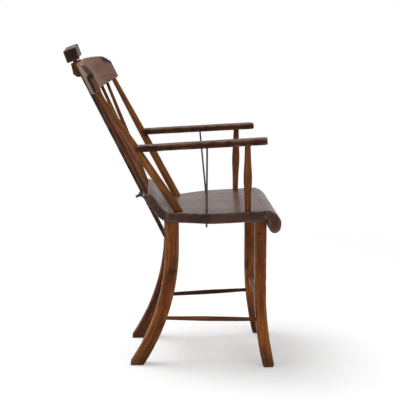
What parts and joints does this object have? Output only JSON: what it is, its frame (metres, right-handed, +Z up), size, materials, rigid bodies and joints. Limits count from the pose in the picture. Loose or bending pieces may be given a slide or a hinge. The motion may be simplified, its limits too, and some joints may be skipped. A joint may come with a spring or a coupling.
{
  "type": "captains chair",
  "caption": "High-backed wooden armchair with a plank seat, a raked spindle back and a headrest block that slides up on a central bar and is held by a thumb screw.",
  "frame": {"origin": "middle of the chair's box, on the floor under its legs", "axes": "+Z up, -Y towards the front of the seat, +X towards the sitter's left"},
  "size_m": [0.5338, 0.5848, 0.8754],
  "materials": {
    "frame_wood": "aged oiled and varnished hardwood, orange brown with darker grain and knots, worn on the edges",
    "seat_wood": "dark varnished hardwood, polished by use, with a cool sheen on the flat",
    "arm_wood": "dark red brown varnished hardwood, handled smooth",
    "headrest_wood": "dark stained hardwood, rubbed pale on the corners",
    "iron": "dark forged iron with light rust",
    "screw_iron": "blackened iron screws",
    "thumb_iron": "dark grey green cast iron"
  },
  "bodies": {
    "chair": {"seat_plank": "seat_wood", "seat_front_roll": "seat_wood", "seat_rear_scroll": "seat_wood", "leg_front_right": "frame_wood", "leg_front_left": "frame_wood", "leg_rear_right": "frame_wood", "leg_rear_left": "frame_wood", "stretcher_right": "frame_wood", "stretcher_left": "frame_wood", "stretcher_front": "frame_wood", "stretcher_rear": "frame_wood", "back_post_right": "frame_wood", "back_post_left": "frame_wood", "back_spindle_1": "frame_wood", "back_spindle_2": "frame_wood", "back_spindle_3": "frame_wood", "back_spindle_4": "frame_wood", "back_spindle_5": "frame_wood", "back_spindle_6": "frame_wood", "crest_rail": "frame_wood", "arm_spindle_right": "frame_wood", "arm_spindle_left": "frame_wood", "arm_right": "arm_wood", "arm_left": "arm_wood", "bar_keeper": "frame_wood", "arm_rod_right": "iron", "arm_rod_left": "iron", "rod_washers": "iron", "rod_nuts": "iron", "clamp_strap": "iron", "keeper_screws": "screw_iron", "clamp_screws": "screw_iron"},
    "headrest": {"headrest_block": "headrest_wood", "headrest_bar": "headrest_wood"},
    "thumb_screw": {"thumb_screw": "thumb_iron"}
  },
  "joints": [
    {"name": "headrest_slide", "type": "slide", "parent": "chair", "child": "headrest", "axis": [0, 0.4462, 0.8949], "range_m": [0, 0.15]},
    {"name": "thumb_screw_turn", "type": "hinge", "parent": "chair", "child": "thumb_screw", "pos_m": [0.00155, 0.08098, 0.45533], "axis": [0, 0.8949, -0.4462], "range_deg": [0, 360]}
  ]
}
